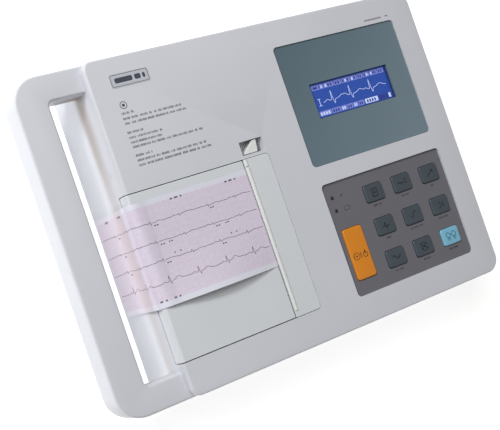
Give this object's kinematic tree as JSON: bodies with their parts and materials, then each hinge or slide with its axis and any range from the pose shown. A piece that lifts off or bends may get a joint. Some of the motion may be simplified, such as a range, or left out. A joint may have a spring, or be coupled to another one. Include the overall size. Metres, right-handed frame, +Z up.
{
  "type": "ecg machine",
  "caption": "Portable desk electrocardiograph with a fixed carrying handle, colour display, keypad, hinged paper door, geared chart printer and printed strip.",
  "frame": {"origin": "centre of the footprint on the table, under the feet", "axes": "+X from the handle to the key side, +Y to the rear panel, +Z up"},
  "size_m": [0.37, 0.26, 0.0703],
  "materials": {
    "case_plastic": "fine textured light grey moulding",
    "rubber": "matt",
    "steel": "plated",
    "battery_wrap": "shrink wrap",
    "black_plastic": "moulded",
    "brass": "machined",
    "board": "solder mask",
    "transformer": "varnished steel core and tape",
    "window": "tinted printed window",
    "lcd": "lit blue panel",
    "fascia": "printed overlay",
    "key_mat": "silicone",
    "lamp": "translucent",
    "chassis": "moulded",
    "ceramic": "glazed",
    "aluminium": "extruded",
    "gear_plastic": "acetal",
    "card": "wound card",
    "paper": "gridded thermal paper",
    "latch": "moulded",
    "key_slate": "satin key cap",
    "key_blue": "satin key cap",
    "key_orange": "satin key cap"
  },
  "bodies": {
    "case": {"bottom_case": "case_plastic", "top_case": "case_plastic", "handle_lower_cover": "case_plastic", "rubber_feet": "rubber", "case_screws": "steel", "battery_cover": "case_plastic", "battery_pack": "battery_wrap", "rear_panel": "case_plastic", "mains_inlet": "black_plastic", "inlet_pins": "steel", "switch_body": "black_plastic", "fuse_holders": "black_plastic", "ground_post": "brass", "patient_connector": "steel", "serial_port": "steel", "main_board": "board", "power_board": "board", "transformer": "transformer", "board_screws": "steel", "display_window": "window", "lcd_frame": "steel", "lcd_glass": "lcd", "panel_board": "board", "keypad_fascia": "fascia", "key_mat": "key_mat", "status_lights": "lamp", "head_cover": "case_plastic", "printer_chassis": "chassis", "print_head": "ceramic", "head_bracket": "aluminium", "head_springs": "steel", "stepper_motor": "steel", "idler_pin": "steel", "roll_spindle": "gear_plastic", "paper_web": "paper", "door_hinge_pins": "steel", "strip_tail": "paper", "latch_spring": "steel"},
    "door": {"paper_door": "case_plastic", "platen_brackets": "chassis", "printed_strip": "paper"},
    "platen": {"platen_roller": "rubber", "platen_shaft": "steel", "platen_gear": "gear_plastic"},
    "idler": {"idler_gear": "gear_plastic"},
    "motor_rotor": {"motor_pinion": "brass"},
    "roll": {"paper_roll": "paper", "roll_core": "card"},
    "latch": {"latch_lever": "latch"},
    "rocker": {"power_rocker": "black_plastic"},
    "key_1_body": {"key_1": "key_slate"},
    "key_2_body": {"key_2": "key_slate"},
    "key_3_body": {"key_3": "key_slate"},
    "key_4_body": {"key_4": "key_slate"},
    "key_5_body": {"key_5": "key_slate"},
    "key_6_body": {"key_6": "key_slate"},
    "key_7_body": {"key_7": "key_slate"},
    "key_8_body": {"key_8": "key_slate"},
    "key_blue_body": {"key_blue": "key_blue"},
    "key_start_body": {"key_start": "key_orange"}
  },
  "joints": [
    {"name": "door_hinge", "type": "hinge", "parent": "case", "child": "door", "pos_m": [-0.1274, 0, 0.0592], "axis": [0, -1, 0], "range_deg": [0, 95]},
    {"name": "platen_spin", "type": "hinge", "parent": "door", "child": "platen", "pos_m": [-0.034, 0, 0.0605], "axis": [0, 1, 0], "continuous": true},
    {"name": "idler_spin", "type": "hinge", "parent": "case", "child": "idler", "pos_m": [-0.034, -0.068, 0.0421], "axis": [0, 1, 0], "continuous": true},
    {"name": "motor_spin", "type": "hinge", "parent": "case", "child": "motor_rotor", "pos_m": [-0.026, -0.068, 0.02824], "axis": [0, 1, 0], "continuous": true},
    {"name": "roll_spin", "type": "hinge", "parent": "case", "child": "roll", "pos_m": [-0.085, 0, 0.0375], "axis": [0, 1, 0], "continuous": true},
    {"name": "latch_slide", "type": "slide", "parent": "case", "child": "latch", "axis": [1, 0, 0], "range_m": [0, 0.0035], "stiffness_N_per_m": 400, "springref_m": -0.001, "deforming": ["latch_spring"]},
    {"name": "rocker_tip", "type": "hinge", "parent": "case", "child": "rocker", "pos_m": [0.085, 0.1215, 0.023], "axis": [0, 0, 1], "range_deg": [-16, 0]},
    {"name": "key_1_press", "type": "slide", "parent": "case", "child": "key_1_body", "axis": [0, 0, -1], "range_m": [0, 0.0008], "stiffness_N_per_m": 400},
    {"name": "key_2_press", "type": "slide", "parent": "case", "child": "key_2_body", "axis": [0, 0, -1], "range_m": [0, 0.0008], "stiffness_N_per_m": 400},
    {"name": "key_3_press", "type": "slide", "parent": "case", "child": "key_3_body", "axis": [0, 0, -1], "range_m": [0, 0.0008], "stiffness_N_per_m": 400},
    {"name": "key_4_press", "type": "slide", "parent": "case", "child": "key_4_body", "axis": [0, 0, -1], "range_m": [0, 0.0008], "stiffness_N_per_m": 400},
    {"name": "key_5_press", "type": "slide", "parent": "case", "child": "key_5_body", "axis": [0, 0, -1], "range_m": [0, 0.0008], "stiffness_N_per_m": 400},
    {"name": "key_6_press", "type": "slide", "parent": "case", "child": "key_6_body", "axis": [0, 0, -1], "range_m": [0, 0.0008], "stiffness_N_per_m": 400},
    {"name": "key_7_press", "type": "slide", "parent": "case", "child": "key_7_body", "axis": [0, 0, -1], "range_m": [0, 0.0008], "stiffness_N_per_m": 400},
    {"name": "key_8_press", "type": "slide", "parent": "case", "child": "key_8_body", "axis": [0, 0, -1], "range_m": [0, 0.0008], "stiffness_N_per_m": 400},
    {"name": "key_blue_press", "type": "slide", "parent": "case", "child": "key_blue_body", "axis": [0, 0, -1], "range_m": [0, 0.0008], "stiffness_N_per_m": 400},
    {"name": "key_start_press", "type": "slide", "parent": "case", "child": "key_start_body", "axis": [0, 0, -1], "range_m": [0, 0.0008], "stiffness_N_per_m": 400}
  ],
  "couplings": [
    {"joint": "platen_spin", "follows": "roll_spin", "ratio": -4.0833},
    {"joint": "idler_spin", "follows": "roll_spin", "ratio": 2.1778},
    {"joint": "motor_spin", "follows": "roll_spin", "ratio": -6.5333}
  ]
}
